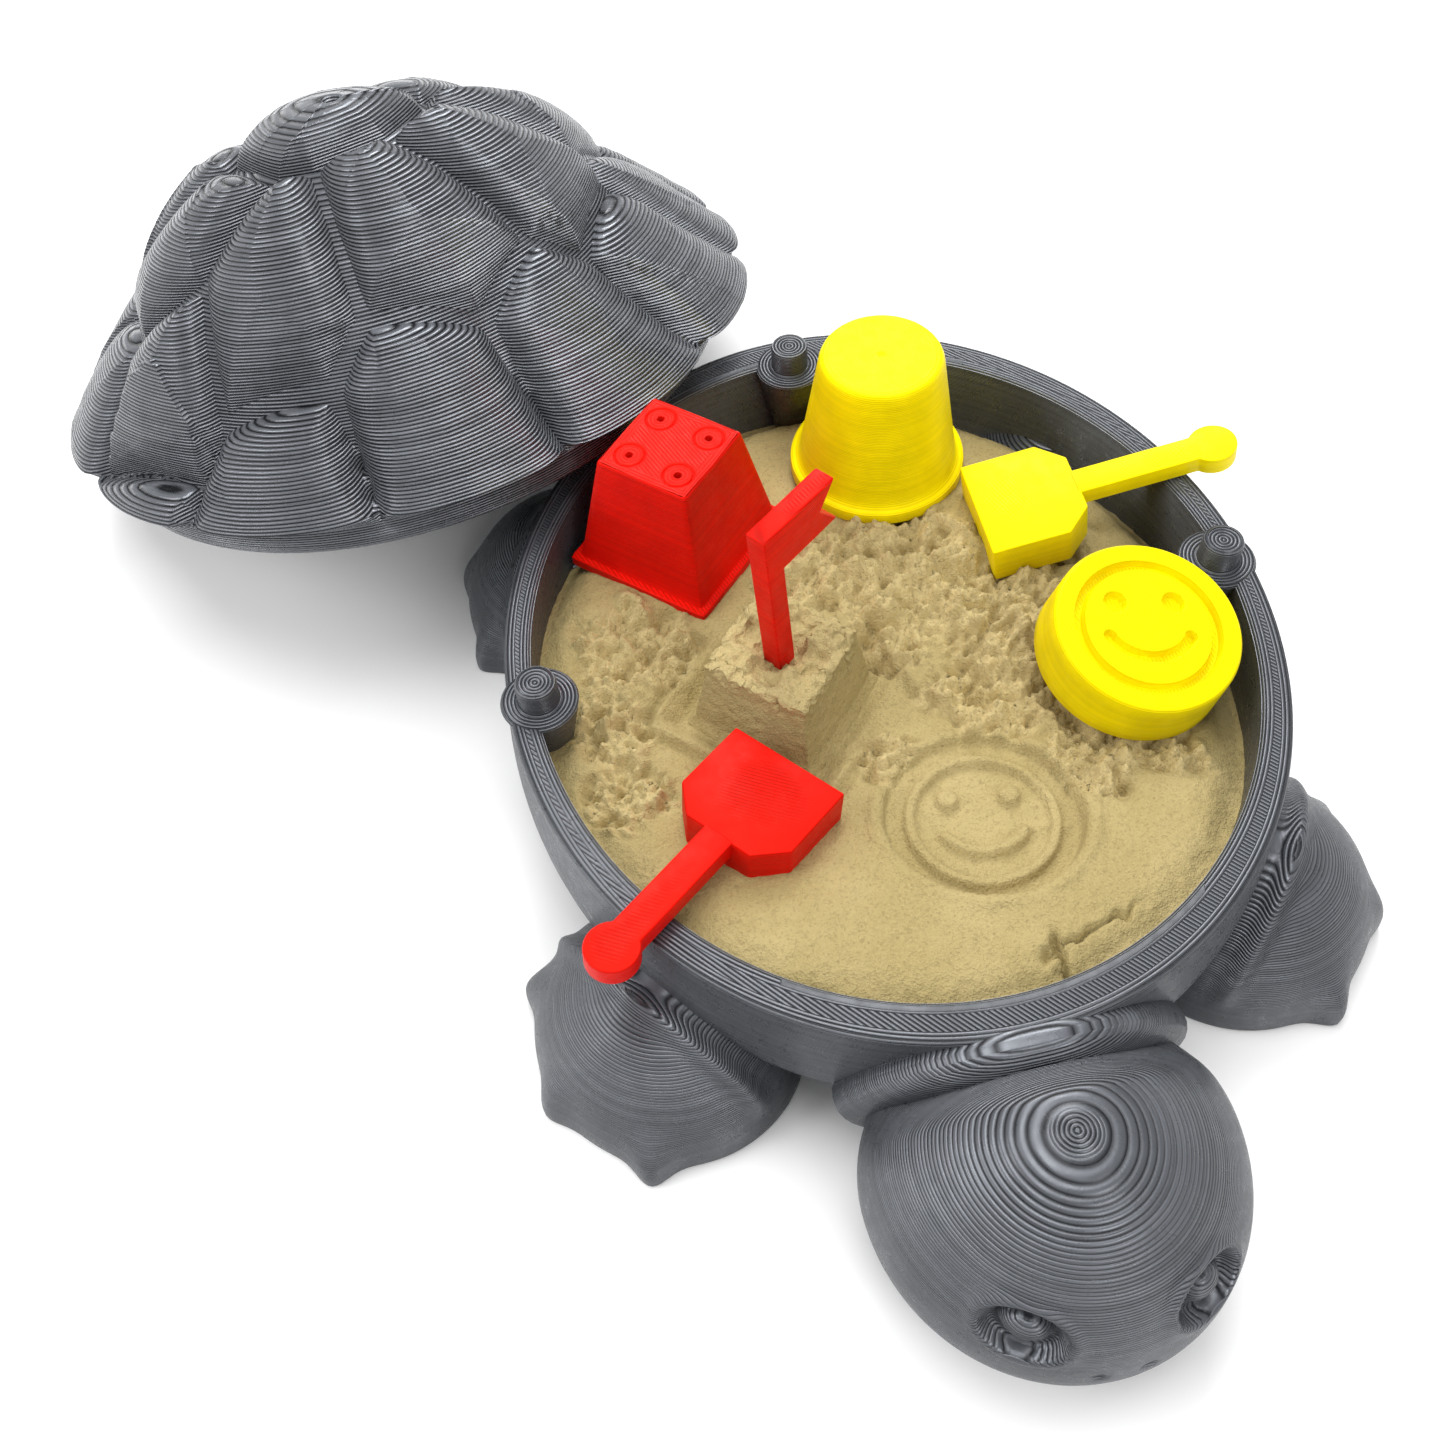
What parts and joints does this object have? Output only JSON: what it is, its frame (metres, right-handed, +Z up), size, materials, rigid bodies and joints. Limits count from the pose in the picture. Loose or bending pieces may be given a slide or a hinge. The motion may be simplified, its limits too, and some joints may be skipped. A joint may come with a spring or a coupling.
{
  "type": "toy sandbox with lid",
  "caption": "Turtle-shaped toy sandbox: pegged bowl with head and flippers, lift-off shell lid, moulded sand, and loose mould, bucket, stamp, shovels and flag.",
  "frame": {"origin": "on the floor under the centre of the bowl", "axes": "+Z up, head towards -Y, tail towards +Y, the turtle's left flippers towards +X"},
  "size_m": [0.1474, 0.2105, 0.0511],
  "materials": {
    "base_grey": "layered print, silky sheen",
    "lid_grey": "layered print, silky sheen",
    "sand": "fine kinetic sand",
    "red_plastic": "layered print, satin",
    "yellow_plastic": "layered print, satin"
  },
  "bodies": {
    "root": {"bowl": "base_grey", "rim_pegs": "base_grey", "neck_collar": "base_grey", "head": "base_grey", "flipper_front_left": "base_grey", "flipper_front_right": "base_grey", "flipper_rear_left": "base_grey", "flipper_rear_right": "base_grey", "sand_bed": "sand", "sand_heap": "sand", "sand_castle": "sand"},
    "lid": {"shell_lid": "lid_grey"},
    "mould": {"castle_mould": "red_plastic"},
    "pail": {"bucket": "yellow_plastic"},
    "stamp": {"smiley_stamp": "yellow_plastic"},
    "red_scoop": {"red_shovel": "red_plastic"},
    "yellow_scoop": {"yellow_shovel": "yellow_plastic"},
    "pennant": {"flag": "red_plastic"}
  },
  "joints": [
    {"name": "lid_lift", "type": "slide", "parent": "root", "child": "lid", "axis": [0, 0, 1], "range_m": [0, 0.07]},
    {"name": "mould_lift", "type": "slide", "parent": "root", "child": "mould", "axis": [0, -0.4, 0.9165], "range_m": [0, 0.05]},
    {"name": "bucket_lift", "type": "slide", "parent": "root", "child": "pail", "axis": [0, 0, 1], "range_m": [0, 0.05]},
    {"name": "stamp_lift", "type": "slide", "parent": "root", "child": "stamp", "axis": [0, 0, 1], "range_m": [0, 0.04]},
    {"name": "red_shovel_lift", "type": "slide", "parent": "root", "child": "red_scoop", "axis": [0, 0, 1], "range_m": [0, 0.05]},
    {"name": "yellow_shovel_lift", "type": "slide", "parent": "root", "child": "yellow_scoop", "axis": [0, 0, 1], "range_m": [0, 0.05]},
    {"name": "flag_pull", "type": "slide", "parent": "root", "child": "pennant", "axis": [-0.0611, 0, 0.9981], "range_m": [0, 0.012]}
  ]
}
